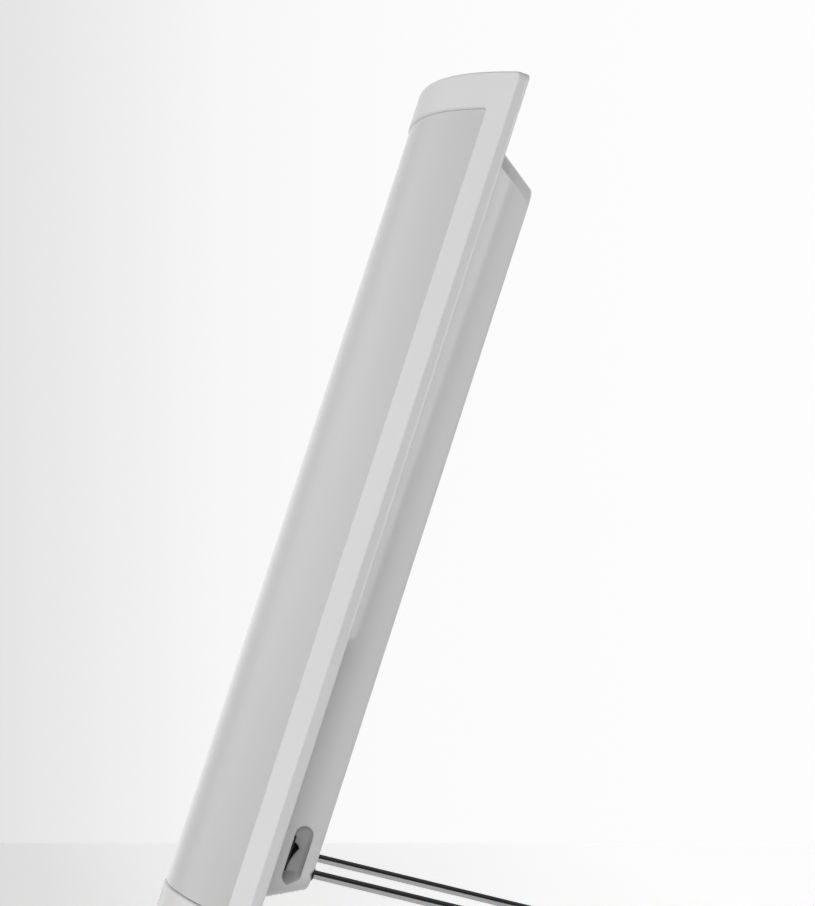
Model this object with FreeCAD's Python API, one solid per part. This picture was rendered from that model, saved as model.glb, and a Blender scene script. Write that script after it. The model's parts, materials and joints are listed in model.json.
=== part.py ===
import FreeCAD, Part
import math
import os
from FreeCAD import Vector

os.makedirs("parts", exist_ok=True)

# Light therapy lamp: a bowed front frame with an opal screen, a tapered tray behind it that holds
# two long twin-leg tubes and their gear, and a wire foot that props the leaning panel.
#
# Everything is drawn in the panel frame, in millimetres: X across the lamp towards the switch, Y to
# the rear, Z up the panel. y = 0 is the rear plane of the front frame and z = 0 its lower end.
# stand() then leans the panel back and sets it on the floor, with the origin under the middle of
# the lamp's overall depth.

# Stance
lean_angle = 18.0
edge_lift = 1.2

# Front frame
frame_width = 300.0
frame_height = 507.0
edge_depth = 6.0
bow_rise = 35.0
frame_corner = 4.0
frame_wall = 2.4
frame_lip_round = 1.2
frame_rear_round = 1.6
bezel_width = 21.0
window_corner = 3.0
window_lip = 0.8

# Opal screen and its foam strips
screen_thickness = 2.0
screen_overlap = 8.0
strip_width = 6.0

# Rear cover: flat plate and tapered tray
cover_thickness = 2.2
tray_depth = 28.5
tray_side_inset = 50.0
tray_top_inset = 32.3
tray_bottom_inset = 33.5
tray_side_taper = 14.0
tray_top_taper = 16.8
tray_bottom_taper = 13.2
tray_corner = 9.0
tray_edge_round = 2.5

# Ventilation slots
vent_length = 90.0
vent_height = 3.0
vent_pitch = 7.0
vent_rows = 6
vent_top_inset = 39.7
vent_bottom_inset = 66.5
end_vent_width = 3.0
end_vent_depth = 10.0
end_vent_pitch = 9.0
end_vent_count = 13

# Switch bay in the side of the tray
bay_wall = 2.0
bay_front = 11.0
bay_width = 10.6
bay_length = 33.6
bay_middle = 63.6
bay_depth = 17.0
bay_ramp = 4.7
bay_ramp_angle = 40.0

# Rocker switch
switch_length = 20.0
switch_width = 14.0
switch_rim = 1.5
switch_body_length = 17.0
switch_body_width = 11.4
switch_body_depth = 10.0
rocker_radius = 7.0
rocker_width = 8.8
rocker_crown = 4.4
rocker_dish = 0.6
rocker_sink = 2.2
rocker_tilt = 18.0
rocker_axle_radius = 1.0
tab_thickness = 0.8
tab_width = 4.0
tab_length = 3.0

# Wire foot
foot_rod = 5.0
foot_inset = 3.0
foot_height = 56.0
foot_drop = 14.1
foot_bend = 15.0
foot_tip_bend = 5.0
foot_tip_angle = 70.0
foot_tip_length = 25.0
socket_wall = 1.8
socket_mouth = 0.9
socket_mouth_depth = 3.0
sleeve_wall = 1.5
sleeve_length = 32.0
sleeve_inset = 38.0

# Rubber pads under the lower edge
pad_length = 34.0
pad_depth = 9.0
pad_inset = 45.0

# Reflector
reflector_thickness = 0.8
reflector_margin = 3.0
reflector_wing = 39.0
reflector_strip_gap = 4.0
reflector_wing_rise = 3.9
reflector_ridge_half = 14.0
reflector_ridge_rise = 11.0
reflector_seat = 1.2

# Twin-leg tubes, caps, holders and clips
tube_offset = 44.0
leg_diameter = 17.5
leg_spacing = 21.4
glass_wall = 1.0
tube_headroom = 46.0
tube_axis = 12.0
cap_width = 42.0
cap_thickness = 20.0
cap_height = 34.0
cap_grip = 8.0
pin_radius = 1.2
pin_length = 6.5
pin_inner = 5.5
pin_outer = 13.0
holder_width = 44.0
holder_thickness = 22.0
holder_height = 24.0
holder_start = 26.0
clip_height = 12.0
clip_sheet = 0.8
clip_drop = 30.0
clip_post = 5.0

# Ballast and terminal block
ballast_length = 200.0
ballast_width = 38.0
ballast_thickness = 20.0
ballast_start = 165.0
ballast_tab = 12.0
ballast_sheet = 1.2
ballast_round = 2.0
boss_height = 6.0
block_width = 26.0
block_depth = 14.0
block_height = 16.0
block_gap = 7.5
block_rise = 3.6

# Mains inlet
inlet_x = -45.0
inlet_z = 74.0
inlet_flange_width = 26.0
inlet_flange_height = 17.0
inlet_flange = 1.6
inlet_body_width = 20.0
inlet_body_height = 12.0
inlet_body_depth = 20.0
inlet_socket_width = 16.0
inlet_socket_height = 9.0
inlet_socket_depth = 14.0
inlet_pin_radius = 1.2
inlet_pin_spacing = 8.6
inlet_pin_recess = 2.5

# Leads
lead_diameter = 3.6
lead_bend = 3.0
tube_lead_hole = 5.0

# Screws and bosses
screw_radius = 1.5
screw_head_radius = 3.0
screw_head = 1.8
screw_length = 11.0
small_screw_length = 5.0
boss_radius = 4.0
cover_screw_inset = 38.0
post_side_inset = 25.0
post_bottom_inset = 78.5
post_top_inset = 31.2

# Clearances
fit_gap = 0.1
seat_gap = 0.3
cover_gap = 0.4


# Worked-out sizes
half_width = frame_width / 2
front_radius = (half_width ** 2 + bow_rise ** 2) / (2 * bow_rise)
front_peak = -edge_depth - bow_rise
arc_centre = front_peak + front_radius
screen_outer = front_radius - window_lip - fit_gap
screen_inner = screen_outer - screen_thickness
window_half = half_width - bezel_width
window_top = frame_height - bezel_width
screen_half = window_half + screen_overlap
screen_bottom = bezel_width - screen_overlap
screen_top = window_top + screen_overlap
tray_half = half_width - tray_side_inset
tray_bottom = tray_bottom_inset
tray_top = frame_height - tray_top_inset
tray_inside = tray_depth - cover_thickness
side_slope = tray_side_taper / tray_depth
top_slope = tray_top_taper / tray_depth
bottom_slope = tray_bottom_taper / tray_depth
post_front = -cover_thickness - reflector_seat
floor_front = post_front - reflector_thickness
tube_y = floor_front - tube_axis
holder_top = holder_start + holder_height
tube_tip = frame_height - tube_headroom
rod_radius = foot_rod / 2
foot_half_width = tray_half - tray_side_taper - foot_inset
sleeve_radius = rod_radius + sleeve_wall
rod_rise = lean_angle - foot_drop
bay_x = tray_half - side_slope * bay_front - bay_depth
switch_x = bay_x + fit_gap + switch_width / 2
block_left = bay_x - bay_wall - block_gap - block_width
socket_radius = rod_radius + fit_gap + socket_wall
block_bottom = foot_height + socket_radius + block_rise
ballast_front = tray_inside - boss_height - ballast_thickness


def box(x0, x1, y0, y1, z0, z1):
    return Part.makeBox(x1 - x0, y1 - y0, z1 - z0, Vector(x0, y0, z0))


def rod(start, end, radius):
    return Part.makeCylinder(radius, (end - start).Length, start, end - start)


def rounded_outline(half_x, z0, z1, corner, y):
    """A closed rounded rectangle in the plane y, symmetric about x = 0."""
    turn = corner * (1 - math.sqrt(0.5))
    a, b, c, d = -half_x, half_x, z0, z1
    edges = [
        Part.makeLine(Vector(a + corner, y, c), Vector(b - corner, y, c)),
        Part.Arc(Vector(b - corner, y, c), Vector(b - turn, y, c + turn), Vector(b, y, c + corner)).toShape(),
        Part.makeLine(Vector(b, y, c + corner), Vector(b, y, d - corner)),
        Part.Arc(Vector(b, y, d - corner), Vector(b - turn, y, d - turn), Vector(b - corner, y, d)).toShape(),
        Part.makeLine(Vector(b - corner, y, d), Vector(a + corner, y, d)),
        Part.Arc(Vector(a + corner, y, d), Vector(a + turn, y, d - turn), Vector(a, y, d - corner)).toShape(),
        Part.makeLine(Vector(a, y, d - corner), Vector(a, y, c + corner)),
        Part.Arc(Vector(a, y, c + corner), Vector(a + turn, y, c + turn), Vector(a + corner, y, c)).toShape(),
    ]
    return Part.Wire(edges)


def rounded_block(half_x, z0, z1, corner, y0, y1):
    outline = Part.Face(rounded_outline(half_x, z0, z1, corner, y0))
    return outline.extrude(Vector(0, y1 - y0, 0))


def slot(width, height, x, z, y0, y1):
    """A round-ended slot across X, cut along Y."""
    reach = width / 2 - height / 2
    middle = box(x - reach, x + reach, y0, y1, z - height / 2, z + height / 2)
    left = rod(Vector(x - reach, y0, z), Vector(x - reach, y1, z), height / 2)
    right = rod(Vector(x + reach, y0, z), Vector(x + reach, y1, z), height / 2)
    return middle.fuse([left, right]).removeSplitter()


def drum(radius, z0, z1):
    """The round body on whose skin the bowed front lies."""
    return Part.makeCylinder(radius, z1 - z0, Vector(0, arc_centre, z0))


def mirrored(shape):
    return shape.mirror(Vector(0, 0, 0), Vector(1, 0, 0))


def swept(edges, radius):
    """A round bar along a chain of lines and arcs."""
    path = Part.Wire(edges)
    first = edges[0]
    start = first.valueAt(first.FirstParameter)
    ring = Part.Wire(Part.makeCircle(radius, start, first.tangentAt(first.FirstParameter)))
    return path.makePipeShell([ring], True, False)


def route(points, bend, radius):
    """A round bar through the corner points, with each corner turned on an arc."""
    edges = []
    start = points[0]
    for corner, after in zip(points[1:-1], points[2:]):
        into = (corner - start).normalize()
        out = (after - corner).normalize()
        half_turn = into.getAngle(out) / 2
        setback = bend * math.tan(half_turn)
        begin = corner - into * setback
        finish = corner + out * setback
        inward = (out - into).normalize()
        middle = corner + inward * (bend / math.cos(half_turn) - bend)
        edges.append(Part.makeLine(start, begin))
        edges.append(Part.Arc(begin, middle, finish).toShape())
        start = finish
    edges.append(Part.makeLine(start, points[-1]))
    return swept(edges, radius)


def screw(head_seat, direction, length):
    """A pan-head screw: its head stands on head_seat and its shank runs along direction."""
    head = Part.makeCylinder(screw_head_radius, screw_head, head_seat, direction * -1)
    shank = Part.makeCylinder(screw_radius - fit_gap, length, head_seat, direction)
    return head.fuse(shank).removeSplitter()


def leaned(y, z):
    """A panel-frame point after the lean: how far back it lies and how high above the floor."""
    lean = math.radians(lean_angle)
    back = y * math.cos(lean) + z * math.sin(lean)
    height = z * math.cos(lean) - y * math.sin(lean) + edge_lift
    return back, height


def foot_length():
    """Length of a leg's straight line from the tray's rear face to the cross-bar's middle."""
    _, height = leaned(tray_depth, foot_height)
    return (height - sleeve_radius) / math.sin(math.radians(foot_drop))


def middle_of_depth():
    """Half-way between the frame's foremost edge and the rear of the foot's sleeves."""
    front, _ = leaned(front_peak + frame_lip_round, frame_lip_round)
    root, _ = leaned(tray_depth, foot_height)
    rear = root + foot_length() * math.cos(math.radians(foot_drop))
    return (front - frame_lip_round + rear + sleeve_radius) / 2


def stand(shape):
    """From the panel frame to the standing lamp: leaned back, lower edge just off the floor."""
    placed = shape.copy()
    placed.rotate(Vector(0, 0, 0), Vector(1, 0, 0), -lean_angle)
    placed.translate(Vector(0, -middle_of_depth(), edge_lift))
    return placed


def save(name, shape):
    stand(shape).exportStep("parts/" + name + ".step")


def cover_screw_places():
    low = frame_wall + cover_gap + boss_radius
    high = frame_height - low
    side = half_width - cover_screw_inset
    return [(x, z) for z in (low, high) for x in (-side, 0, side)]


def post_places():
    side = tray_half - post_side_inset
    heights = (tray_bottom + post_bottom_inset, tray_top - post_top_inset)
    return [(x, z) for z in heights for x in (-side, side)]


def ballast_screw_places():
    middle = ballast_tab / 2
    return (ballast_start - middle, ballast_start + ballast_length + middle)


def bowed_slab(radius, half_x, z0, z1, corner):
    """Everything between the bowed skin of a given radius and the rear plane."""
    block = rounded_block(half_x, z0, z1, corner, front_peak - 1, 0)
    return block.common(drum(radius, z0 - 1, z1 + 1))


def front_frame():
    shell = bowed_slab(front_radius, half_width, 0, frame_height, frame_corner)
    rim = [edge for edge in shell.Edges if edge.BoundBox.YMax < -edge_depth / 2]
    shell = shell.makeFillet(frame_lip_round, rim)
    rear = [edge for edge in shell.Edges if edge.BoundBox.YMin > -fit_gap]
    shell = shell.makeFillet(frame_rear_round, rear)
    hollow = bowed_slab(front_radius - frame_wall, half_width - frame_wall, frame_wall,
                        frame_height - frame_wall, frame_corner - frame_wall)
    shell = shell.cut(hollow)
    bosses = []
    pilots = []
    for x, z in cover_screw_places():
        base = Vector(x, -cover_thickness, z)
        bosses.append(Part.makeCylinder(boss_radius, -front_peak, base, Vector(0, -1, 0)))
        pilots.append(Part.makeCylinder(screw_radius, screw_length, base, Vector(0, -1, 0)))
    inside = bowed_slab(front_radius - frame_wall / 2, half_width - frame_wall / 2, frame_wall / 2,
                        frame_height - frame_wall / 2, frame_corner - frame_wall / 2)
    shell = shell.fuse([boss.common(inside) for boss in bosses])
    window = rounded_block(window_half, bezel_width, window_top, window_corner, front_peak - 1, 0)
    return shell.cut([window, screen_seat()] + pilots).removeSplitter()


def screen_seat():
    """The rebate behind the window's thin lip, which holds the screen nearly flush."""
    half = screen_half + fit_gap
    seat = box(-half, half, front_peak, 0, screen_bottom - fit_gap, screen_top + fit_gap)
    return seat.common(drum(front_radius - window_lip, 0, frame_height))


def screen():
    sheet = drum(screen_outer, screen_bottom, screen_top)
    sheet = sheet.cut(drum(screen_inner, screen_bottom - 1, screen_top + 1))
    return sheet.common(box(-screen_half, screen_half, front_peak, 0, screen_bottom, screen_top))


def screen_strip():
    """Foam strip between the screen's long edge and the rear cover."""
    strip = box(screen_half - strip_width, screen_half, front_peak, -cover_thickness,
                bezel_width, window_top)
    return strip.common(drum(screen_inner, 0, frame_height))


def tray_outline(inset, depth):
    """Rounded outline of the tapered tray at a depth behind the rear plane, drawn in by inset."""
    reach = tray_half - side_slope * depth - inset
    low = tray_bottom + bottom_slope * depth + inset
    high = tray_top - top_slope * depth - inset
    return rounded_outline(reach, low, high, tray_corner - inset, depth)


def tray_outside():
    tray = Part.makeLoft([tray_outline(0, 0), tray_outline(0, tray_depth)], True, True)
    rim = [edge for edge in tray.Edges if edge.BoundBox.YMin > tray_depth - 1]
    return tray.makeFillet(tray_edge_round, rim)


def tray_inside_volume():
    front = tray_outline(cover_thickness, -cover_thickness)
    back = tray_outline(cover_thickness, tray_inside)
    return Part.makeLoft([front, back], True, True)


def bay_hollow():
    """The finger recess: round-ended at its mouth, with a scooped back and a ramp at its low end."""
    half = bay_width / 2
    reach = bay_length / 2 - half
    y = bay_front + half
    outside = half_width
    low = Vector(bay_x, y, bay_middle - reach)
    high = Vector(bay_x, y, bay_middle + reach)
    run = Vector(outside - bay_x, 0, 0)
    hollow = box(bay_x, outside, bay_front, bay_front + bay_width, low.z, high.z)
    hollow = hollow.fuse([rod(low, low + run, half), rod(high, high + run, half)])

    mouth_rear = tray_half - side_slope * (bay_front + bay_width)
    rise = mouth_rear - bay_x
    scoop_radius = (rise ** 2 + bay_width ** 2) / (2 * rise)
    centre = Vector(bay_x + scoop_radius, bay_front, 0)
    scoop = Part.makeCylinder(scoop_radius, frame_height, centre)
    beyond = box(centre.x, outside, 0, 2 * tray_depth, 0, frame_height)
    hollow = hollow.removeSplitter().common(scoop.fuse(beyond))

    ramp = box(-outside, outside, -outside, outside, -outside, 0)
    ramp.rotate(Vector(0, 0, 0), Vector(rise, bay_width, 0), bay_ramp_angle)
    ramp.translate(Vector(bay_x, bay_front, bay_middle - bay_length / 2 + bay_ramp))
    return hollow.cut(ramp)


def bay_block():
    return box(bay_x - bay_wall, half_width, bay_front - bay_wall, bay_front + bay_width + bay_wall,
               bay_middle - bay_length / 2 - bay_wall, bay_middle + bay_length / 2 + bay_wall)


def leg_direction():
    rise = math.radians(rod_rise)
    return Vector(0, math.cos(rise), math.sin(rise))


def tip_edges():
    """The foot's sprung tip: from its end, inside the socket, out to the tray's rear face."""
    along = leg_direction()
    turn = math.radians(foot_tip_angle)
    rear = Vector(foot_half_width, tray_depth, foot_height)
    bend_centre = rear + Vector(-foot_tip_bend, 0, 0)

    def on_bend(angle):
        return bend_centre + Vector(foot_tip_bend * math.cos(angle), 0, 0) - along * (
            foot_tip_bend * math.sin(angle))

    inner = on_bend(turn)
    heading = Vector(-math.sin(turn), 0, 0) - along * math.cos(turn)
    end = inner + heading * foot_tip_length
    return end, inner, on_bend(turn / 2), rear, heading


def wire_foot():
    along = leg_direction()
    end, inner, middle, rear, _ = tip_edges()
    bar = rear + along * foot_length()
    bend_start = bar - along * foot_bend
    bend_end = bar - Vector(foot_bend, 0, 0)
    corner = bend_end - along * foot_bend
    bend_middle = corner + (Vector(1, 0, 0) + along) * (foot_bend * math.sqrt(0.5))
    right = [
        Part.makeLine(end, inner),
        Part.Arc(inner, middle, rear).toShape(),
        Part.makeLine(rear, bend_start),
        Part.Arc(bend_start, bend_middle, bend_end).toShape(),
        Part.makeLine(bend_end, Vector(0, bend_end.y, bend_end.z)),
    ]
    half = swept(right, rod_radius)
    return half.fuse(mirrored(half)).removeSplitter()


def foot_bore(radius, extra):
    """The room a foot tip takes in its socket, from a little past its end to behind the tray."""
    end, inner, middle, rear, heading = tip_edges()
    edges = [
        Part.makeLine(end + heading * extra, inner),
        Part.Arc(inner, middle, rear).toShape(),
        Part.makeLine(rear, rear + leg_direction() * foot_bend),
    ]
    return swept(edges, radius)


def foot_mouth():
    """The wider mouth of a foot socket, which guides the sprung tip in."""
    rear = Vector(foot_half_width, tray_depth, foot_height)
    along = leg_direction()
    return rod(rear - along * socket_mouth_depth, rear + along * foot_bend, rod_radius + socket_mouth)


def foot_sleeve(side):
    bar = Vector(0, tray_depth, foot_height) + leg_direction() * foot_length()
    middle = side * (foot_half_width - sleeve_inset)
    start = bar + Vector(middle - sleeve_length / 2, 0, 0)
    run = Vector(sleeve_length, 0, 0)
    outer = rod(start, start + run, sleeve_radius)
    return outer.cut(rod(start, start + run, rod_radius))


def base_pad(side):
    """A rubber wedge under the frame's lower end, cut level with the floor."""
    x = side * (half_width - pad_inset)
    drop = edge_lift + pad_depth * 2
    pad = box(x - pad_length / 2, x + pad_length / 2, -pad_depth, 0, -drop, 0)
    floor = box(-frame_width, frame_width, -frame_width, frame_width, -frame_width, 0)
    floor.translate(Vector(0, 0, -edge_lift))
    floor.rotate(Vector(0, 0, 0), Vector(1, 0, 0), lean_angle)
    return pad.cut(floor)


def vents():
    cuts = []
    height = (vent_rows - 1) * vent_pitch
    for start in (tray_bottom + vent_bottom_inset, tray_top - vent_top_inset - height):
        for row in range(vent_rows):
            z = start + row * vent_pitch
            cuts.append(slot(vent_length, vent_height, 0, z, tray_inside - 1, tray_depth + 1))
    middle = tray_depth / 2
    for step in range(end_vent_count):
        x = (step - (end_vent_count - 1) / 2) * end_vent_pitch
        cuts.append(box(x - end_vent_width / 2, x + end_vent_width / 2, middle - end_vent_depth / 2,
                        middle + end_vent_depth / 2, tray_top - tray_top_taper - tray_corner, tray_top))
    return cuts


def rear_housing():
    reach = half_width - frame_wall - cover_gap
    low = frame_wall + cover_gap
    plate = rounded_block(reach, low, frame_height - low, frame_corner - frame_wall,
                          -cover_thickness, 0)
    outside = tray_outside()
    shell = plate.fuse(outside).cut(tray_inside_volume())

    sockets = foot_bore(socket_radius, socket_wall)
    solids = [bay_block(), sockets, mirrored(sockets)]
    for z in ballast_screw_places():
        solids.append(rod(Vector(0, tray_inside - boss_height, z), Vector(0, tray_depth, z), boss_radius))
    inside = [solid.common(outside) for solid in solids]
    for x, z in post_places():
        inside.append(rod(Vector(x, post_front, z), Vector(x, tray_inside, z), boss_radius))
    shell = shell.fuse(inside)

    bore = foot_bore(rod_radius + fit_gap, fit_gap)
    mouth = foot_mouth()
    cuts = [bay_hollow(), bore, mirrored(bore), mouth, mirrored(mouth)] + vents()
    body_half = switch_body_width / 2 + fit_gap
    cuts.append(box(switch_x - body_half, switch_x + body_half, bay_front - bay_wall - 1, bay_front + 1,
                    bay_middle - switch_body_length / 2 - fit_gap,
                    bay_middle + switch_body_length / 2 + fit_gap))
    cuts.append(box(inlet_x - inlet_body_width / 2 - fit_gap, inlet_x + inlet_body_width / 2 + fit_gap,
                    tray_inside - 1, tray_depth + 1,
                    inlet_z - inlet_body_height / 2 - fit_gap, inlet_z + inlet_body_height / 2 + fit_gap))
    for z in ballast_screw_places():
        start = Vector(0, tray_inside - boss_height, z)
        cuts.append(Part.makeCylinder(screw_radius, small_screw_length, start, Vector(0, 1, 0)))
    for x, z in post_places():
        start = Vector(x, post_front, z)
        cuts.append(Part.makeCylinder(screw_radius, screw_length, start, Vector(0, 1, 0)))
    for x, z in cover_screw_places():
        start = Vector(x, -cover_thickness - 1, z)
        cuts.append(Part.makeCylinder(screw_radius, cover_thickness + 2, start, Vector(0, 1, 0)))
    return shell.cut(cuts).removeSplitter()


def cover_screws():
    ahead = Vector(0, -1, 0)
    length = cover_thickness + screw_length - 1
    return Part.makeCompound([screw(Vector(x, 0, z), ahead, length) for x, z in cover_screw_places()])


def reflector():
    low = bezel_width + reflector_margin
    high = window_top - reflector_margin
    tip = screen_half - strip_width - reflector_strip_gap
    bend = tip - reflector_wing
    front = [
        (-tip, floor_front - reflector_wing_rise), (-bend, floor_front), (-reflector_ridge_half, floor_front),
        (0, floor_front - reflector_ridge_rise),
        (reflector_ridge_half, floor_front), (bend, floor_front), (tip, floor_front - reflector_wing_rise),
    ]
    back = [(x, y + reflector_thickness) for x, y in reversed(front)]
    outline = [Vector(x, y, low) for x, y in front + back]
    sheet = Part.Face(Part.makePolygon(outline + outline[:1])).extrude(Vector(0, 0, high - low))
    cuts = []
    for x, z in post_places():
        cuts.append(rod(Vector(x, -tube_axis, z), Vector(x, 0, z), screw_radius))
    for side in (-1, 1):
        start = Vector(side * lead_x(), floor_front - 1, lead_z())
        cuts.append(rod(start, start + Vector(0, 2 + reflector_thickness, 0), tube_lead_hole / 2))
        for x in holder_screw_places(side):
            start = Vector(x, floor_front - 1, holder_screw_z())
            cuts.append(rod(start, start + Vector(0, 2 + reflector_thickness, 0), screw_radius))
    return sheet.cut(cuts)


def reflector_screws():
    behind = Vector(0, 1, 0)
    length = reflector_thickness + screw_length - 1
    return Part.makeCompound([screw(Vector(x, floor_front, z), behind, length) for x, z in post_places()])


def lead_x():
    return tube_offset - holder_width / 4


def lead_z():
    """Height of the tube leads' way through the reflector, behind the holders."""
    return holder_top - tube_lead_hole


def holder_screw_places(side):
    reach = holder_width / 2 - screw_head_radius
    return (side * tube_offset - reach, side * tube_offset + reach)


def holder_screw_z():
    return max(holder_top, tray_bottom + cover_thickness) - screw_head_radius - 2


def pin_places(side):
    middle = side * tube_offset
    return [middle + offset for offset in (-pin_outer, -pin_inner, pin_inner, pin_outer)]


def lampholder(side):
    middle = side * tube_offset
    body = box(middle - holder_width / 2, middle + holder_width / 2, floor_front - holder_thickness,
               floor_front, holder_start, holder_top)
    cuts = []
    for x in pin_places(side):
        top = Vector(x, tube_y, holder_top)
        cuts.append(Part.makeCylinder(pin_radius + fit_gap, pin_length + 1, top, Vector(0, 0, -1)))
    for x in holder_screw_places(side):
        start = Vector(x, floor_front, holder_screw_z())
        cuts.append(Part.makeCylinder(screw_radius, small_screw_length, start, Vector(0, -1, 0)))
    return body.cut(cuts)


def holder_screws():
    ahead = Vector(0, -1, 0)
    seat = floor_front + reflector_thickness
    length = reflector_thickness + small_screw_length - 1
    places = holder_screw_places(-1) + holder_screw_places(1)
    return Part.makeCompound([screw(Vector(x, seat, holder_screw_z()), ahead, length) for x in places])


def legs(side):
    middle = side * tube_offset
    return (middle - leg_spacing / 2, middle + leg_spacing / 2)


def tube_cap(side):
    middle = side * tube_offset
    body = box(middle - cap_width / 2, middle + cap_width / 2, tube_y - cap_thickness / 2,
               tube_y + cap_thickness / 2, holder_top, holder_top + cap_height)
    uprights = [edge for edge in body.Edges if abs(edge.tangentAt(0).z) > 0.9]
    body = body.makeFillet(cap_thickness / 6, uprights)
    pins = [Part.makeCylinder(pin_radius, pin_length, Vector(x, tube_y, holder_top), Vector(0, 0, -1))
            for x in pin_places(side)]
    grip = holder_top + cap_height - cap_grip
    cuts = [Part.makeCylinder(leg_diameter / 2 + fit_gap, cap_grip + 1, Vector(x, tube_y, grip))
            for x in legs(side)]
    return body.fuse(pins).cut(cuts).removeSplitter()


def tube_skin(side, radius, inset):
    """Both legs of a tube with domed tips and the short bridge near them."""
    start = holder_top + cap_height - cap_grip + inset
    dome = tube_tip - leg_diameter / 2
    parts = []
    for x in legs(side):
        parts.append(rod(Vector(x, tube_y, start), Vector(x, tube_y, dome), radius))
        parts.append(Part.makeSphere(radius, Vector(x, tube_y, dome)))
    left, right = legs(side)
    bridge = dome - leg_diameter / 2
    parts.append(rod(Vector(left, tube_y, bridge), Vector(right, tube_y, bridge), radius / 2))
    return parts[0].fuse(parts[1:]).removeSplitter()


def tube(side):
    glass = tube_skin(side, leg_diameter / 2, 0)
    return glass.cut(tube_skin(side, leg_diameter / 2 - glass_wall, glass_wall))


def tube_clip(side):
    """A spring clip that hugs the outer half of both legs and stands on the reflector."""
    low = tube_tip - clip_drop - clip_height
    left, right = legs(side)
    inner = leg_diameter / 2 + fit_gap
    outer = inner + clip_sheet
    pieces = [box(left, right, floor_front - clip_sheet, floor_front, low, low + clip_height)]
    for x, way in ((left, -1), (right, 1)):
        base = Vector(x, tube_y, low)
        ring = Part.makeCylinder(outer, clip_height, base).cut(Part.makeCylinder(inner, clip_height, base))
        side_box = box(min(x, x + way * outer), max(x, x + way * outer), tube_y - inner / 2,
                       tube_y + outer, low, low + clip_height)
        post = box(x - clip_post / 2, x + clip_post / 2, tube_y + inner, floor_front, low,
                   low + clip_height)
        pieces.append(ring.common(side_box))
        pieces.append(post.cut(Part.makeCylinder(inner, clip_height, base)))
    return pieces[0].fuse(pieces[1:]).removeSplitter()


def ballast():
    half = ballast_width / 2
    low = ballast_start
    high = ballast_start + ballast_length
    back = tray_inside - boss_height
    case = box(-half, half, ballast_front, back, low, high)
    case = case.makeFillet(ballast_round, [edge for edge in case.Edges if edge.BoundBox.YMax < back - 1])
    hollow = box(ballast_sheet - half, half - ballast_sheet, ballast_front + ballast_sheet,
                 back - ballast_sheet, low + ballast_sheet, high - ballast_sheet)
    tabs = box(-half / 2, half / 2, back - ballast_sheet, back, low - ballast_tab, high + ballast_tab)
    holes = [rod(Vector(0, back - ballast_thickness, z), Vector(0, back + 1, z), screw_radius)
             for z in ballast_screw_places()]
    return case.fuse(tabs).cut(holes + [hollow]).removeSplitter()


def ballast_screws():
    seat = tray_inside - boss_height - ballast_sheet
    length = ballast_sheet + small_screw_length - 1
    behind = Vector(0, 1, 0)
    return Part.makeCompound([screw(Vector(0, seat, z), behind, length) for z in ballast_screw_places()])


def terminal_block():
    front = tray_inside - block_depth
    block = box(block_left, block_left + block_width, front, tray_inside,
                block_bottom, block_bottom + block_height)
    ways = 3
    pitch = block_width / ways
    wells = []
    for way in range(ways):
        x = block_left + pitch * (way + 0.5)
        start = Vector(x, front, block_bottom + block_height * 0.75)
        wells.append(Part.makeCylinder(screw_radius, block_depth / 2, start, Vector(0, 1, 0)))
    return block.cut(wells)


def mains_inlet():
    flange = rounded_block(inlet_flange_width / 2, -inlet_flange_height / 2, inlet_flange_height / 2,
                           inlet_flange_height / 4, tray_depth, tray_depth + inlet_flange)
    body = box(-inlet_body_width / 2, inlet_body_width / 2, tray_depth - inlet_body_depth, tray_depth,
               -inlet_body_height / 2, inlet_body_height / 2)
    face = tray_depth + inlet_flange
    socket = slot(inlet_socket_width, inlet_socket_height, 0, 0, face - inlet_socket_depth, face + 1)
    shape = flange.fuse(body).cut(socket).removeSplitter()
    shape.translate(Vector(inlet_x, 0, inlet_z))
    return shape


def inlet_pins():
    base = tray_depth + inlet_flange - inlet_socket_depth
    tip = tray_depth + inlet_flange - inlet_pin_recess
    pins = []
    for side in (-1, 1):
        x = inlet_x + side * inlet_pin_spacing / 2
        pin = rod(Vector(x, base, inlet_z), Vector(x, tip, inlet_z), inlet_pin_radius)
        end = [edge for edge in pin.Edges if edge.Closed and edge.BoundBox.YMin > tip - fit_gap]
        pins.append(pin.makeFillet(inlet_pin_radius / 2, end))
    return Part.makeCompound(pins)


def rocker_pivot():
    return Vector(switch_x, bay_front + switch_rim - rocker_sink, bay_middle)


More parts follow.
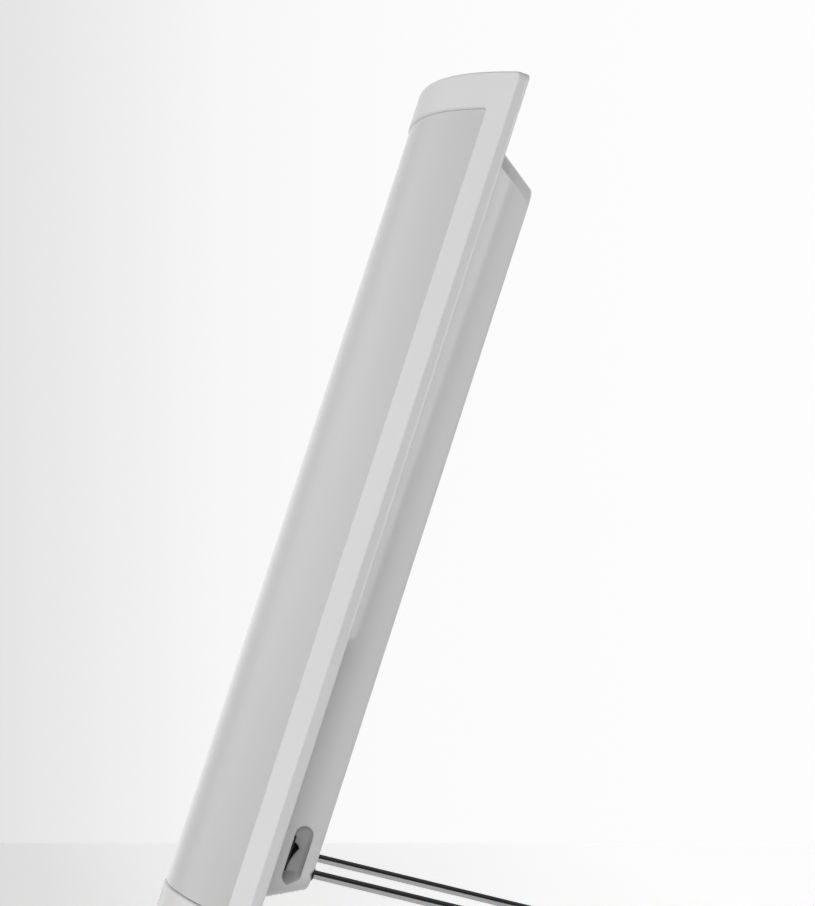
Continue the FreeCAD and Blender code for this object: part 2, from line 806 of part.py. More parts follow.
def switch_body():
    """Rim, body and terminals of the switch, open at the rear for the rocker."""
    pivot = rocker_pivot()
    x0 = switch_x - switch_width / 2
    rim = box(x0, x0 + switch_width, bay_front, bay_front + switch_rim,
              bay_middle - switch_length / 2, bay_middle + switch_length / 2)
    outer = [edge for edge in rim.Edges if edge.BoundBox.YMin > bay_front + switch_rim / 2]
    rim = rim.makeFillet(switch_rim / 3, outer)
    half = switch_body_width / 2
    front = bay_front - switch_body_depth
    body = box(switch_x - half, switch_x + half, front, bay_front,
               bay_middle - switch_body_length / 2, bay_middle + switch_body_length / 2)
    tabs = []
    for step in (-1, 0, 1):
        z = bay_middle + step * switch_body_length / 3
        tabs.append(box(switch_x - tab_width / 2, switch_x + tab_width / 2, front - tab_length, front,
                        z - tab_thickness / 2, z + tab_thickness / 2))
    opening = rocker_width / 2 + fit_gap
    bore = rocker_radius + 2 * fit_gap
    well = Part.makeCylinder(bore, 2 * opening, pivot - Vector(opening, 0, 0), Vector(1, 0, 0))
    mouth = box(switch_x - opening, switch_x + opening, pivot.y, bay_front + 2 * switch_rim,
                bay_middle - bore, bay_middle + bore)
    axle = half - socket_gap()
    bearing = Part.makeCylinder(rocker_axle_radius + fit_gap, 2 * axle, pivot - Vector(axle, 0, 0),
                                Vector(1, 0, 0))
    return rim.fuse([body] + tabs).cut([well, mouth, bearing]).removeSplitter()


def socket_gap():
    """Wall left outside the rocker's axle ends in the switch body."""
    return (switch_body_width - rocker_width) / 4


def rocker():
    """The rocker, tipped to its rest side: round ends about the pivot and a dished face."""
    pivot = rocker_pivot()
    x = switch_x - rocker_width / 2
    reach = math.sqrt(rocker_radius ** 2 - rocker_crown ** 2)
    high = Vector(x, pivot.y + rocker_crown, pivot.z + reach)
    low = Vector(x, pivot.y + rocker_crown, pivot.z - reach)
    dish = Vector(x, pivot.y + rocker_crown - rocker_dish, pivot.z)
    keel = Vector(x, pivot.y - rocker_radius, pivot.z)
    outline = Part.Wire([Part.Arc(low, dish, high).toShape(), Part.Arc(high, keel, low).toShape()])
    paddle = Part.Face(outline).extrude(Vector(rocker_width, 0, 0))
    trim = box(x - 1, x + rocker_width + 1, pivot.y - 2 * rocker_radius, pivot.y - rocker_crown,
               pivot.z - rocker_radius, pivot.z + rocker_radius)
    axle = switch_body_width / 2 - socket_gap() - fit_gap
    pin = Part.makeCylinder(rocker_axle_radius, 2 * axle, pivot - Vector(axle, 0, 0), Vector(1, 0, 0))
    shape = paddle.cut(trim).fuse(pin).removeSplitter()
    shape.rotate(pivot, Vector(1, 0, 0), -rocker_tilt)
    return shape


def inlet_lead():
    z = inlet_z
    start = tray_depth - inlet_body_depth
    run = start - lead_bend - lead_diameter / 2
    turn = block_left - lead_bend - seat_gap
    back = tray_inside - block_depth / 2
    points = [Vector(inlet_x, start, z), Vector(inlet_x, run, z), Vector(turn, run, z),
              Vector(turn, back, z), Vector(block_left, back, z)]
    return route(points, lead_bend, lead_diameter / 2)


def switch_lead():
    x = block_left + block_width * 0.8
    z = bay_middle + lead_diameter
    front = tray_inside - block_depth
    run = bay_front - bay_wall - lead_diameter
    end = switch_x - switch_body_width / 2
    points = [Vector(x, front, z), Vector(x, run, z), Vector(end, run, z)]
    return route(points, lead_bend, lead_diameter / 2)


def ballast_lead():
    x = block_left + block_width / 2
    y = tray_inside - boss_height - ballast_sheet - screw_head - lead_diameter
    top = block_bottom + block_height
    turn = top + 4 * lead_diameter
    points = [Vector(x, y, top), Vector(x, y, turn), Vector(0, y, turn), Vector(0, y, ballast_start)]
    return route(points, lead_bend, lead_diameter / 2)


def tube_lead(side):
    near = side * ballast_width / 3
    x = side * lead_x()
    y = ballast_front + ballast_thickness * 0.4
    z = ballast_start - ballast_width
    points = [Vector(near, y, ballast_start), Vector(near, y, z), Vector(x, y, z),
              Vector(x, y, lead_z()), Vector(x, floor_front, lead_z())]
    return route(points, lead_bend, lead_diameter / 2)


save("front_frame", front_frame())
save("opal_screen", screen())
save("screen_strip_right", screen_strip())
save("screen_strip_left", mirrored(screen_strip()))
save("rear_housing", rear_housing())
save("cover_screws", cover_screws())
save("reflector", reflector())
save("reflector_screws", reflector_screws())
save("holder_screws", holder_screws())
for side, name in ((1, "right"), (-1, "left")):
    save("lampholder_" + name, lampholder(side))
    save("tube_cap_" + name, tube_cap(side))
    save("tube_" + name, tube(side))
    save("tube_clip_" + name, tube_clip(side))
    save("tube_lead_" + name, tube_lead(side))
    save("base_pad_" + name, base_pad(side))
    save("foot_sleeve_" + name, foot_sleeve(side))
save("ballast", ballast())
save("ballast_screws", ballast_screws())
save("terminal_block", terminal_block())
save("mains_inlet", mains_inlet())
save("inlet_pins", inlet_pins())
save("switch_body", switch_body())
save("rocker", rocker())
save("wire_foot", wire_foot())
save("inlet_lead", inlet_lead())
save("switch_lead", switch_lead())
save("ballast_lead", ballast_lead())
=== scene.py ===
import json
import math

import bmesh
import bpy
from mathutils import Matrix, Vector

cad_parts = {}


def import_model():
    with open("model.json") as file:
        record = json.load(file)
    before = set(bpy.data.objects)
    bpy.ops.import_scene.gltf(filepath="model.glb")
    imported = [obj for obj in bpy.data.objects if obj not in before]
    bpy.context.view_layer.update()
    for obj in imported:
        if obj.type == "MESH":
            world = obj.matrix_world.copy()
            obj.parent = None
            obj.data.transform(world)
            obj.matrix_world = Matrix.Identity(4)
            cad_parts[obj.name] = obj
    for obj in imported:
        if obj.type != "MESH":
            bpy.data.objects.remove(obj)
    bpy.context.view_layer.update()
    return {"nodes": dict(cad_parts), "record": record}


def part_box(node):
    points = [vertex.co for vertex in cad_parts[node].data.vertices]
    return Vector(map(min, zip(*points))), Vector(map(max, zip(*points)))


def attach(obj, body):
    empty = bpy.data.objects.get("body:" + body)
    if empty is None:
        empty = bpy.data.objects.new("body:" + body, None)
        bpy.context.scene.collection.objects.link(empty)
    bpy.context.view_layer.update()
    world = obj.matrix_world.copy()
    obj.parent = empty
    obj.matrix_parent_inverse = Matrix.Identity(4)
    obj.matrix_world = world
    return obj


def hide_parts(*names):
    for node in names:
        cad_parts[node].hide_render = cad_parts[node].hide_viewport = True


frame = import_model()
nodes = frame["nodes"]

# Light therapy lamp: its materials, its finer pieces and the studio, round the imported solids.
#
# Lengths are in metres. The leaning panel's own axes are x towards the switch, y to the rear and
# z up the panel, with their zero at the lower end of the front frame's rear plane.

# ---------------------------------------------------------------- sizes shared with the solids
LEAN = math.radians(18.0)       # the panel's lean from upright
DROP = math.radians(14.1)       # the fall of the foot's rods from the tray to the floor
MID_DEPTH = 0.0877766           # from the panel's zero to the middle of the lamp's depth
EDGE_LIFT = 0.0012              # height of the panel's zero over the floor
ROD_RADIUS = 0.0025
TRAY_DEPTH = 0.0285
FOOT_HEIGHT = 0.056             # where the foot enters the tray
PAD_DEPTH = 0.009
SCREW_COLUMNS = (-0.112, 0.0, 0.112)
SCREW_ROWS = (0.0068, 0.5002)
WINDOW_HALF, WINDOW_BOTTOM, WINDOW_TOP, WINDOW_CORNER = 0.129, 0.021, 0.486, 0.003
SCREEN_RADIUS, SCREEN_AXIS = 0.33803, 0.29793   # the screen's bowed face, and its axis in y
SWITCH_PLACE = (0.096, 0.0165, 0.0636)


def panel(x, y, z):
    """A place in the panel's own axes, given in the row frame."""
    back = y * math.cos(LEAN) + z * math.sin(LEAN) - MID_DEPTH
    return Vector((x, back, z * math.cos(LEAN) - y * math.sin(LEAN) + EDGE_LIFT))


PANEL = Matrix.Translation((0, -MID_DEPTH, EDGE_LIFT)) @ Matrix.Rotation(-LEAN, 4, "X")


# ---------------------------------------------------------------- node helpers
NOISE_LOW, NOISE_HIGH = 0.3, 0.7    # most of what a noise gives lies between these
EDGE_SAMPLES = 4                    # rays that look for an edge at each shaded point


def connect(tree, socket, value):
    """Link an output to a socket, or set the socket's constant."""
    if isinstance(value, bpy.types.NodeSocket):
        tree.links.new(value, socket)
    else:
        socket.default_value = value


def feed(tree, one, **values):
    """Link or set a node's inputs by their names, with _ for a blank."""
    for key, value in values.items():
        connect(tree, one.inputs[key.replace("_", " ")], value)


def in_order(tree, one, *values):
    """Link or set a node's first inputs, where several share a name, and give its output."""
    for socket, value in zip(one.inputs, values):
        connect(tree, socket, value)
    return one.outputs[0]


def node(tree, kind, **values):
    """A shader node. Names in small letters are its properties, the others its inputs."""
    one = tree.nodes.new("ShaderNode" + kind)
    for key in [key for key in values if key[0].islower()]:
        setattr(one, key, values.pop(key))
    feed(tree, one, **values)
    return one


def principled(name):
    """A new material, its tree and the shader in it."""
    mat = bpy.data.materials.new(name)
    mat.use_nodes = True
    tree = mat.node_tree
    tree.nodes.clear()
    out = node(tree, "OutputMaterial")
    shader = node(tree, "BsdfPrincipled")
    feed(tree, out, Surface=shader.outputs[0])
    return mat, tree, shader


def place(tree, scale=(1, 1, 1), turn=(0, 0, 0)):
    """Object coordinates, turned and then stretched."""
    where = node(tree, "TexCoord").outputs["Object"]
    if any(turn):
        where = node(tree, "Mapping", Vector=where, Rotation=turn).outputs["Vector"]
    return node(tree, "Mapping", Vector=where, Scale=scale).outputs["Vector"]


def noise(tree, where, scale, detail, rough):
    made = node(tree, "TexNoise", Vector=where, Scale=scale, Detail=detail, Roughness=rough)
    return made.outputs["Fac"]


def spread(tree, value, low, high, start=NOISE_LOW, end=NOISE_HIGH):
    """Stretch start..end to low..high, and hold the value between them."""
    made = node(tree, "MapRange", Value=value, From_Min=start, From_Max=end,
                To_Min=low, To_Max=high)
    return made.outputs["Result"]


def ramp(tree, value, stops):
    """A colour for the value, between stops of (value, colour)."""
    made = node(tree, "ValToRGB", Fac=value)
    bar = made.color_ramp
    while len(bar.elements) < len(stops):
        bar.elements.new(0.5)
    for element, (where, colour) in zip(bar.elements, stops):
        element.position = where
        element.color = (*colour, 1)
    return made.outputs["Color"]


def grey(level):
    return (level, level, level)


def grey_ramp(tree, value, stops):
    return ramp(tree, value, [(where, grey(level)) for where, level in stops])


def shades(tree, value, colour, dark, light, end=NOISE_HIGH):
    """One colour's darker and lighter shade, as a noise says."""
    return ramp(tree, value, [(where, tuple(min(1.0, c * factor) for c in colour))
                              for where, factor in ((NOISE_LOW, dark), (end, light))])


def relief(tree, height, depth, strength, normal=None):
    """Bumps of that depth, over another normal if there is one."""
    made = node(tree, "Bump", Strength=strength, Distance=depth, Height=height)
    if normal is not None:
        feed(tree, made, Normal=normal)
    return made.outputs["Normal"]


def soft_edge(tree, radius, rounder=None):
    """Edges rounded in the shading, and rounder about one place if rounder gives it.

    rounder is (the place, how far it reaches, the radius there).
    """
    made = node(tree, "Bevel", samples=EDGE_SAMPLES, Radius=radius)
    if rounder:
        centre, reach, more = rounder
        away = node(tree, "VectorMath", operation="DISTANCE")
        in_order(tree, away, place(tree), centre)
        feed(tree, made, Radius=spread(tree, away.outputs["Value"], more, radius,
                                       start=0.85 * reach, end=reach))
    return made.outputs["Normal"]


def plastic(name, colour, rough=0.35, grain=0.000004, mottle=0.012, edge=0.0005, coat=0.0,
            coat_rough=0.05, specular=0.5, rounder=None, painted_shade=None):
    """A moulded plastic: faint clouds, spark-eroded grain, uneven gloss, softened edges and, if
    asked, a painted shade towards the floor.

    grain is the grain's depth, mottle how far the clouds go from the colour, edge the radius of
    the edges, and the last, if given, the stops of a painted shade that darkens the colour
    towards the floor (height over the floor, factor on the colour).
    """
    mat, tree, shader = principled(name)
    where = place(tree)
    clouds = noise(tree, where, scale=9.0, detail=4.0, rough=0.55)
    tone = shades(tree, clouds, colour, 1 - mottle, 1 + mottle)
    # painted shade: where stops are given, the colour is darkened towards the floor
    if painted_shade:
        height = node(tree, "SeparateXYZ", Vector=where).outputs["Z"]
        tone = in_order(tree, node(tree, "MixRGB", blend_type="MULTIPLY"),
                        1.0, tone, grey_ramp(tree, height, painted_shade))
    smears = noise(tree, where, scale=55.0, detail=5.0, rough=0.6)
    edges = soft_edge(tree, edge, rounder) if edge else None
    grains = noise(tree, where, scale=1500.0, detail=2.0, rough=0.5)
    grained = relief(tree, grains, grain, strength=0.6, normal=edges)
    swells = noise(tree, where, scale=14.0, detail=1.0, rough=0.4)
    feed(tree, shader,
         Base_Color=tone,
         Roughness=spread(tree, smears, rough - 0.03, rough + 0.04),
         Normal=relief(tree, swells, 0.00012, strength=0.25, normal=grained),
         Specular_IOR_Level=specular,
         Coat_Weight=coat,
         Coat_Roughness=coat_rough)
    return mat


def metal(name, colour, rough, lines, turn=(0, 0, 0), streak=0.04, pit=0.000004):
    """Drawn or plated metal with fine lines along its length.

    lines is the lines' number per metre along each axis once turned, streak how far the gloss
    goes from rough in them, and pit their depth.
    """
    mat, tree, shader = principled(name)
    drawn = noise(tree, place(tree, lines, turn), scale=1.0, detail=4.0, rough=0.6)
    smudge = noise(tree, place(tree), scale=40.0, detail=4.0, rough=0.6)
    feed(tree, shader,
         Metallic=1.0,
         Base_Color=shades(tree, smudge, colour, 0.94, 1.05),
         Roughness=spread(tree, drawn, rough - streak, rough + streak),
         Normal=relief(tree, drawn, pit, strength=0.5))
    return mat


def rubber(name, colour, rough=0.75):
    """Dusty rubber with a fine grain."""
    mat, tree, shader = principled(name)
    where = place(tree)
    cloud = noise(tree, where, scale=120.0, detail=4.0, rough=0.6)
    dust = noise(tree, where, scale=400.0, detail=3.0, rough=0.7)
    grain = noise(tree, where, scale=1800.0, detail=2.0, rough=0.6)
    edges = soft_edge(tree, 0.0006)
    feed(tree, shader,
         Base_Color=shades(tree, cloud, colour, 0.8, 1.35, end=0.75),
         Roughness=spread(tree, dust, rough - 0.08, rough + 0.08),
         Normal=relief(tree, grain, 0.00004, strength=0.7, normal=edges),
         Specular_IOR_Level=0.35)
    return mat


def phosphor_glass(name):
    """Clear glass with its white phosphor lining showing through."""
    mat, tree, shader = principled(name)
    haze = noise(tree, place(tree), scale=30.0, detail=4.0, rough=0.6)
    feed(tree, shader,
         Base_Color=ramp(tree, haze, [(NOISE_LOW, (0.80, 0.81, 0.81)),
                                      (NOISE_HIGH, (0.86, 0.86, 0.85))]),
         Roughness=spread(tree, haze, 0.05, 0.12),
         Coat_Weight=1.0,
         Coat_Roughness=0.03)
    return mat


# ---------------------------------------------------------------- materials
# painted shade on the opal screen: its colour darkens towards its lower end, nearest the floor
SCREEN_PAINTED_SHADE = [(0.03, 0.92), (0.10, 0.945), (0.19, 0.985), (0.30, 1.0)]
RECESS_EDGES = (panel(*SWITCH_PLACE), 0.026, 0.0019)    # rounder within 26 mm of the switch

looks = {
    "frame_plastic": plastic(
        "satin_frame_plastic", grey(0.692), rough=0.36, edge=0.0007, coat=0.6, coat_rough=0.06,
        specular=0.3),
    "opal_acrylic": plastic(
        "opal_acrylic", (0.556, 0.556, 0.555), rough=0.34, grain=0.000003, mottle=0.008, edge=0.0,
        coat=1.0, coat_rough=0.07, specular=0.2, painted_shade=SCREEN_PAINTED_SHADE),
    "housing_plastic": plastic(
        "satin_housing_plastic", grey(0.598), rough=0.36, edge=0.0008, coat=1.0, coat_rough=0.04,
        specular=0.2, rounder=RECESS_EDGES),
    "white_sheet": plastic("white_coated_sheet", grey(0.80), rough=0.4),
    "white_plastic": plastic("white_lampholder_plastic", (0.78, 0.78, 0.77), rough=0.4),
    "lead_white": plastic("white_lead_sheath", (0.70, 0.70, 0.69), rough=0.5),
    "lead_grey": plastic("grey_lead_sheath", (0.18, 0.18, 0.19), rough=0.5),
    "ballast_case": plastic("white_enamel_case", grey(0.68), rough=0.25, coat=0.4),
    "terminal_plastic": plastic("terminal_plastic", (0.66, 0.64, 0.58), rough=0.42),
    "black_plastic": plastic(
        "black_grained_plastic", (0.009, 0.009, 0.010), rough=0.38, grain=0.00002, mottle=0.1,
        specular=0.3),
    "rocker_plastic": plastic(
        "polished_black_plastic", grey(0.003), rough=0.2, mottle=0.1, edge=0.0004, specular=0.04),
    "foam": rubber("pale_foam", (0.55, 0.55, 0.54), rough=0.9),
    "rubber_grey": rubber("grey_rubber", (0.11, 0.11, 0.115)),
    "rubber_black": rubber("black_rubber", (0.018, 0.018, 0.019), rough=0.62),
    "screw_steel": metal(
        "zinc_screw_steel", (0.56, 0.56, 0.57), rough=0.36, lines=(60, 60, 60), streak=0.06),
    "spring_steel": metal(
        "bright_spring_steel", (0.55, 0.55, 0.57), rough=0.25, lines=(40, 700, 40)),
    "pin_metal": metal(
        "nickelled_pin_metal", (0.62, 0.59, 0.50), rough=0.22, lines=(300, 20, 300)),
    "chromed_wire": metal(
        "bright_plated_wire", (0.40, 0.40, 0.405), rough=0.09, lines=(900, 7, 900),
        turn=(DROP, 0, 0), streak=0.02, pit=0.0000005),
    "tube_glass": phosphor_glass("phosphor_lined_glass"),
}

slots = {part["node"]: part["material_slot"] for part in frame["record"]["subparts"]}
for name, obj in nodes.items():
    obj.data.materials.clear()
    obj.data.materials.append(looks[slots[name]])


# ---------------------------------------------------------------- mesh helpers
def mesh_of(name, bm):
    """The mesh of a bmesh, which is then freed."""
    mesh = bpy.data.meshes.new(name)
    bm.to_mesh(mesh)
    bm.free()
    return mesh


def add_object(name, data):
    obj = bpy.data.objects.new(name, data)
    bpy.context.scene.collection.objects.link(obj)
    return obj


def skin(bm, rows):
    """Faces round a closed loop of rows, each a closed loop of as many vertices."""
    for row, after in zip(rows, rows[1:] + rows[:1]):
        for i in range(len(row)):
            j = (i + 1) % len(row)
            bm.faces.new((row[i], after[i], after[j], row[j]))


def lathe(profile, matrix, steps=48):
    """A solid turned about the matrix's Z axis, from a closed profile of (radius, height)."""
    bm = bmesh.new()
    rows = []
    for k in range(steps):
        a = 2 * math.pi * k / steps
        rows.append([bm.verts.new(matrix @ Vector((r * math.cos(a), r * math.sin(a), h)))
                     for r, h in profile])
    skin(bm, rows)
    bmesh.ops.remove_doubles(bm, verts=bm.verts, dist=1e-6)
    return bm


def piece(name, bm, slot, replaced=None, body="lamp", sharp=35.0):
    """A visible piece of that slot on that body, smooth but for edges over sharp degrees."""
    bmesh.ops.recalc_face_normals(bm, faces=bm.faces)
    mesh = mesh_of(name, bm)
    mesh.shade_smooth()
    mesh.set_sharp_from_angle(angle=math.radians(sharp))
    mesh.materials.append(looks[slot])
    obj = add_object(name, mesh)
    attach(obj, body)
    if replaced:
        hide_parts(replaced)


# ---------------------------------------------------------------- detail pieces
# (radius, height) round a screw's domed head, shank and point
SCREW_PROFILE = [(0.0, 0.0018), (0.0009, 0.00177), (0.0017, 0.0016), (0.0023, 0.00132),
                 (0.0027, 0.00092), (0.00295, 0.00045), (0.003, 0.00015), (0.0029, 0.0),
                 (0.0014, 0.0), (0.0014, -0.0116), (0.0009, -0.0122), (0.0, -0.0122)]
# (height, an arm's reach, half an arm's width) at the mouth and the bottom of the cross recess
CROSS_LEVELS = ((0.0024, 0.00175, 0.00036), (0.0007, 0.0007, 0.00022))
SCREW_SPINS = (20, 47, 5, 63, 31, 78)       # degrees at which the crosses were left


def screw_with_cross():
    """The mesh of one screw: its head stands on Z = 0 and its shank points down."""
    head = lathe(SCREW_PROFILE, Matrix.Identity(4), steps=40)
    cross = bmesh.new()
    rows = []
    for height, reach, half in CROSS_LEVELS:
        rows.append([cross.verts.new((x, y, height)) for x, y in (
            (reach, -half), (reach, half), (half, half), (half, reach),
            (-half, reach), (-half, half), (-reach, half), (-reach, -half),
            (-half, -half), (-half, -reach), (half, -reach), (half, -half))])
    mouth, bottom = rows
    for i in range(len(mouth)):
        j = (i + 1) % len(mouth)
        cross.faces.new((mouth[i], mouth[j], bottom[j], bottom[i]))
    cross.faces.new(mouth)
    cross.faces.new(bottom)
    for bm in (head, cross):
        bmesh.ops.recalc_face_normals(bm, faces=bm.faces)
    blank = add_object("screw_blank", mesh_of("screw_blank", head))
    cutter = add_object("screw_cross", mesh_of("screw_cross", cross))
    cut = blank.modifiers.new("cut", "BOOLEAN")
    cut.operation = "DIFFERENCE"
    cut.solver = "EXACT"
    cut.object = cutter
    seen = blank.evaluated_get(bpy.context.evaluated_depsgraph_get())
    mesh = bpy.data.meshes.new_from_object(seen)
    bpy.data.objects.remove(blank)
    bpy.data.objects.remove(cutter)
    return mesh


def cover_screws():
    """The six screws that hold the rear cover, each left at its own angle."""
    one = screw_with_cross()
    bm = bmesh.new()
    spins = iter(SCREW_SPINS)
    for z in SCREW_ROWS:
        for x in SCREW_COLUMNS:
            single = one.copy()
            spin = Matrix.Rotation(math.radians(next(spins)), 4, "Z")
            outward = Matrix.Rotation(-math.pi / 2, 4, "X") @ spin
            single.transform(PANEL @ Matrix.Translation((x, 0, z)) @ outward)
            bm.from_mesh(single)
            bpy.data.meshes.remove(single)
    bpy.data.meshes.remove(one)
    piece("cross_head_screws", bm, "screw_steel", "cover_screws")


def foot_sleeve(side):
    """A rubber sleeve with rounded ends and moulded grip rings."""
    low, high = (Vector(v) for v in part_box("foot_sleeve_" + side))
    middle = (low + high) / 2
    half = (high.x - low.x) / 2
    outer, rounding, bore_inset = 0.004, 0.0009, 0.0001
    groove_depth, groove_mouth, groove_floor = 0.00025, 0.0005, 0.0002
    rounded_end = [(outer - rounding + rounding * math.cos(a),
                    half - rounding + rounding * math.sin(a))
                   for a in (math.radians(15 * k) for k in range(7))]
    grooves = []
    for at in (0.0105, 0.0085, 0.0065):
        grooves += [(outer, at + groove_mouth), (outer - groove_depth, at + groove_floor),
                    (outer - groove_depth, at - groove_floor), (outer, at - groove_mouth)]
    upper = [(ROD_RADIUS, half - bore_inset)] + rounded_end[::-1] + grooves
    profile = upper + [(r, -h) for r, h in reversed(upper)]
    along = Matrix.Translation(middle) @ Matrix.Rotation(math.pi / 2, 4, "Y")
    piece("grip_sleeve_" + side, lathe(profile, along), "rubber_black", "foot_sleeve_" + side)


def base_pad(side):
    """A rubber wedge under the frame with rounded edges, cut level with the floor."""
    low, high = (Vector(v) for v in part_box("base_pad_" + side))
    bm = bmesh.new()
    corners = []
    for depth in (-PAD_DEPTH, 0.0):
        top = panel(0, depth, 0)
        floor_back = top.y - top.z / math.cos(LEAN) * math.sin(LEAN)
        for x in (low.x, high.x) if depth else (high.x, low.x):
            corners.append((bm.verts.new((x, top.y, top.z)),
                            bm.verts.new((x, floor_back, 0.0))))
    for a, b in zip(corners, corners[1:] + corners[:1]):
        bm.faces.new((a[0], b[0], b[1], a[1]))
    for level in range(2):
        bm.faces.new([corner[level] for corner in corners])
    bmesh.ops.bevel(bm, geom=bm.edges[:], offset=0.0006, segments=3, profile=0.5, affect="EDGES")
    piece("rubber_pad_" + side, bm, "rubber_grey", "base_pad_" + side)


# (radius, height over the tray's rear) of the lip round the rod, down to inside the tray's wall
GROMMET_PROFILE = [(0.00262, -0.0022), (0.00262, 0.00025), (0.00275, 0.00040), (0.0029, 0.00045),
                   (0.0034, 0.00042), (0.0036, 0.00030), (0.00366, 0.00012), (0.0036, 0.00002),
                   (0.00332, 0.00001), (0.0033, -0.0022)]


def grommet(side):
    """A rubber grommet round the foot where it enters the tray."""
    rod_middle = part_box("wire_foot")[1][0] - ROD_RADIUS
    x = rod_middle if side == "right" else -rod_middle
    matrix = (PANEL @ Matrix.Translation((x, TRAY_DEPTH, FOOT_HEIGHT))
              @ Matrix.Rotation(-math.pi / 2, 4, "X"))
    piece("foot_grommet_" + side, lathe(GROMMET_PROFILE, matrix), "rubber_black")


# (how far in from the window's edge, how far proud of the screen) round the bead
BEAD_PROFILE = [(-0.00001, 0.00070), (0.00010, 0.00062), (0.00026, 0.00040), (0.00050, 0.00018),
                (0.00085, 0.00005), (0.00100, 0.0), (0.00098, -0.00002), (-0.00001, -0.00002)]


def window_outline(corner_steps=6, rail_steps=60):
    """The window's edge as (x, z, inward x, inward z), with steps along the bowed rails."""
    outline = []
    for sx, sz in ((1, 1), (-1, 1), (-1, -1), (1, -1)):
        edge = WINDOW_TOP if sz > 0 else WINDOW_BOTTOM
        cx, cz = sx * (WINDOW_HALF - WINDOW_CORNER), edge - sz * WINDOW_CORNER
        first = math.atan2(sz, sx) - math.pi / 4
        for k in range(corner_steps + 1):
            a = first + math.pi / 2 * k / corner_steps
            outline.append((cx + WINDOW_CORNER * math.cos(a), cz + WINDOW_CORNER * math.sin(a),
                            -math.cos(a), -math.sin(a)))
        if sx == sz:
            outline += [(cx * (1 - 2 * k / rail_steps), edge, 0, -sz)
                        for k in range(1, rail_steps)]
    return outline


def window_bead():
    """A slim bead that seals the screen against the inner edge of the window."""
    bm = bmesh.new()
    rows = []
    for x, z, inward_x, inward_z in window_outline():
        row = []
        for inward, rise in BEAD_PROFILE:
            px = x + inward_x * inward
            front = SCREEN_AXIS - math.sqrt((SCREEN_RADIUS + rise) ** 2 - px * px)
            row.append(bm.verts.new(PANEL @ Vector((px, front, z + inward_z * inward))))
        rows.append(row)
    skin(bm, rows)
    piece("window_bead", bm, "frame_plastic", sharp=60.0)


cover_screws()
for make in (foot_sleeve, base_pad, grommet):
    for side in ("right", "left"):
        make(side)
window_bead()


# ---------------------------------------------------------------- camera, floor, world and light
CAMERA = Vector((2.0051, -0.2341, 0.2134))
AHEAD = Vector((-0.99149, 0.12567, 0.03411))
LENS_MM, SENSOR_MM = 137.88, 36.0

TABLE_BACK = 2.74               # from the camera to the table's far edge
TABLE_LENGTH, TABLE_HALF_WIDTH = 9.0, 5.5

# Each list below gives stops of (part of the way, grey), and its _REACH the start and the end of
# the way. A heading is a direction out of the scene, with each of X, Y and Z from -1 to 1.

# what the table adds to its own grey for the camera and mirrors, along Y
TABLE_GLOW = [(0.0, 0.56), (0.44, 0.40), (0.56, 0.33), (0.656, 0.40), (0.72, 0.50), (1.0, 0.64)]
TABLE_REACH = (-1.0, 0.25)

# the backdrop as the camera sees it, along the heading's Y
BACKDROP = [(0.0, 0.985), (0.109, 0.965), (0.148, 0.93), (0.169, 0.865), (0.196, 0.785),
            (0.26, 0.70), (0.45, 0.78), (1.0, 0.90)]
BACKDROP_REACH = (0.26, -1.0)
# the room as mirrors show it at eye level, along the heading's X
ROOM = [(0.0, 0.90), (0.018, 0.65), (0.04, 0.56), (0.07, 0.72), (0.10, 0.79), (0.14, 0.77),
        (0.21, 0.70), (0.30, 0.62), (0.60, 0.45), (1.0, 0.05)]
ROOM_REACH = (-1.0, 0.4)
# the room as mirrors show it overhead, along the heading's Z
OVERHEAD = [(0.0, 0.03), (0.5, 0.07), (1.0, 0.13)]
OVERHEAD_REACH = (0.6, 1.0)
# what lights the object from all round and from above, and the way between them along Z
FILL, CEILING = 0.35, 0.20
RISE_REACH = (0.25, 0.6)


def larger(tree, first, second):
    return in_order(tree, node(tree, "Math", operation="MAXIMUM"), first, second)


def mix(tree, factor, first, second):
    """The first shader where the factor is 0 and the second where it is 1."""
    return in_order(tree, node(tree, "MixShader"), factor, first, second)


def floor():
    """A pale table whose rounded far edge lies square to the camera."""
    flat = Vector((AHEAD.x, AHEAD.y, 0)).normalized()
    side = Vector((-flat.y, flat.x, 0))
    start = Vector((CAMERA.x, CAMERA.y, 0))
    profile = [(TABLE_BACK - TABLE_LENGTH, 0.0), (TABLE_BACK - 0.004, 0.0),
               (TABLE_BACK - 0.001, -0.001), (TABLE_BACK, -0.004), (TABLE_BACK, -0.03)]
    bm = bmesh.new()
    rows = [[bm.verts.new(start + flat * along + side * across + Vector((0, 0, height)))
             for across in (-TABLE_HALF_WIDTH, TABLE_HALF_WIDTH)] for along, height in profile]
    for a, b in zip(rows, rows[1:]):
        bm.faces.new((a[0], b[0], b[1], a[1]))
    mesh = mesh_of("table_top", bm)
    obj = add_object("table_top", mesh)
    mat, tree, shader = principled("pale_table")
    where = place(tree)
    clouds = noise(tree, where, scale=3.0, detail=3.0, rough=0.5)
    grain = noise(tree, where, scale=900.0, detail=2.0, rough=0.5)
    feed(tree, shader,
         Base_Color=grey_ramp(tree, clouds, [(NOISE_LOW, 0.80), (NOISE_HIGH, 0.82)]),
         Roughness=0.6,
         Normal=relief(tree, grain, 0.00003, strength=0.3))
    split = node(tree, "SeparateXYZ", Vector=where)
    across = spread(tree, split.outputs["Y"], 0.0, 1.0, *TABLE_REACH)
    glow = node(tree, "Emission", Color=grey_ramp(tree, across, TABLE_GLOW))
    dark = node(tree, "Emission", Strength=0.0)
    rays = node(tree, "LightPath").outputs
    shown = larger(tree, larger(tree, rays["Is Camera Ray"], rays["Is Glossy Ray"]),
                   rays["Is Transmission Ray"])
    added = mix(tree, shown, dark.outputs[0], glow.outputs[0])
    both = in_order(tree, node(tree, "AddShader"), shader.outputs[0], added)
    feed(tree, tree.nodes["Material Output"], Surface=both)
    mesh.materials.append(mat)


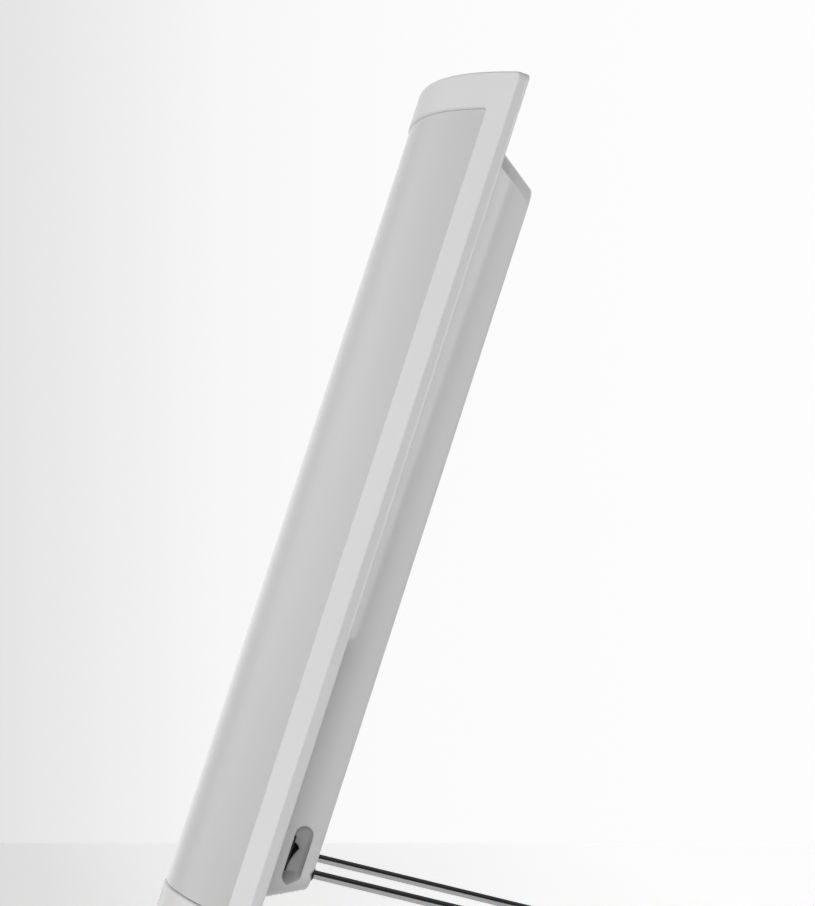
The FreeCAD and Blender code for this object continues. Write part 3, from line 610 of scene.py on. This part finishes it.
def world():
    """Even light, less of it from above, a pale backdrop, and a dimmer room in mirrors."""
    studio = bpy.data.worlds.new("studio")
    bpy.context.scene.world = studio
    studio.use_nodes = True
    tree = studio.node_tree
    tree.nodes.clear()
    heading = node(tree, "TexCoord").outputs["Generated"]
    split = node(tree, "SeparateXYZ", Vector=heading).outputs
    rise = spread(tree, split["Z"], 0.0, 1.0, *RISE_REACH)
    round_about = spread(tree, split["Y"], 1.0, 0.0, *reversed(BACKDROP_REACH))
    ahead = spread(tree, split["X"], 0.0, 1.0, *ROOM_REACH)
    overhead = spread(tree, split["Z"], 0.0, 1.0, *OVERHEAD_REACH)
    mirrored = in_order(tree, node(tree, "MixRGB"), rise, grey_ramp(tree, ahead, ROOM),
                        grey_ramp(tree, overhead, OVERHEAD))
    light = grey_ramp(tree, rise, [(0.0, FILL), (1.0, CEILING)])
    seen, mirror, fill = (node(tree, "Background", Color=colour).outputs[0] for colour in (
        grey_ramp(tree, round_about, BACKDROP), mirrored, light))
    rays = node(tree, "LightPath").outputs
    direct = larger(tree, rays["Is Camera Ray"], rays["Is Transmission Ray"])
    surface = mix(tree, direct, mix(tree, rays["Is Glossy Ray"], fill, mirror), seen)
    feed(tree, node(tree, "OutputWorld"), Surface=surface)


def area_light(name, width, height, watts, where, turn):
    """A rectangular light that the camera doesn't see."""
    data = bpy.data.lights.new(name, "AREA")
    data.shape = "RECTANGLE"
    data.size = width
    data.size_y = height
    data.energy = watts
    obj = add_object(name, data)
    obj.location = where
    obj.rotation_mode = "QUATERNION"
    obj.rotation_quaternion = turn
    obj.visible_camera = False
    return obj


def softbox(name, where, width, height, watts):
    """A soft light beyond the table's edges, aimed at the lamp's middle, that no mirror shows."""
    aim = Vector((0, 0, 0.2)) - Vector(where)
    obj = area_light(name, width, height, watts, where, aim.to_track_quat("-Z", "Y"))
    obj.visible_glossy = False


def edge_card():
    """A tall soft light behind the lamp that shows only in gloss, as the band on the tray's side.

    middle lies on the band's edge, and ray is where the tray's side turns the camera's ray there.
    The card's long edge meets that ray, and lean tilts the card so that the band runs along the
    tray.
    """
    middle = Vector((0.0945, 0.0228, 0.3051))
    ray = Vector((0.51651, 0.83686, -0.18136))
    across = Vector((0.85097, -0.52522, 0.0))
    up = across.cross(ray)
    lean = -0.1815
    tall = (up + across * lean).normalized()
    wide = (across - up * lean).normalized()
    width, height, away, raised = 0.30, 0.43, 0.6, 0.035
    where = middle + ray * away + tall * raised + wide * width / 2
    turn = Matrix((tall.cross(ray), tall, ray)).transposed().to_quaternion()
    obj = area_light("edge_card", width, height, 1.5, where, turn)
    obj.visible_diffuse = False
    obj.visible_transmission = False


def camera():
    data = bpy.data.cameras.new("photo_camera")
    data.lens = LENS_MM
    data.sensor_width = SENSOR_MM
    data.clip_start = 0.05
    data.clip_end = 50.0
    obj = add_object("photo_camera", data)
    obj.location = CAMERA
    obj.rotation_mode = "QUATERNION"
    obj.rotation_quaternion = AHEAD.to_track_quat("-Z", "Y")
    bpy.context.scene.camera = obj


floor()
world()
softbox("key", (-1.26, -5.67, 0.72), 4.2, 1.7, 216)
softbox("side", (6.4, -1.2, 0.68), 2.2, 1.5, 206)
softbox("rear", (0.22, 6.2, 0.75), 4.0, 1.8, 52)
softbox("rear_far", (-3.3, 5.4, 0.9), 3.0, 1.8, 160)
edge_card()
camera()
bpy.context.scene.view_settings.view_transform = "Standard"
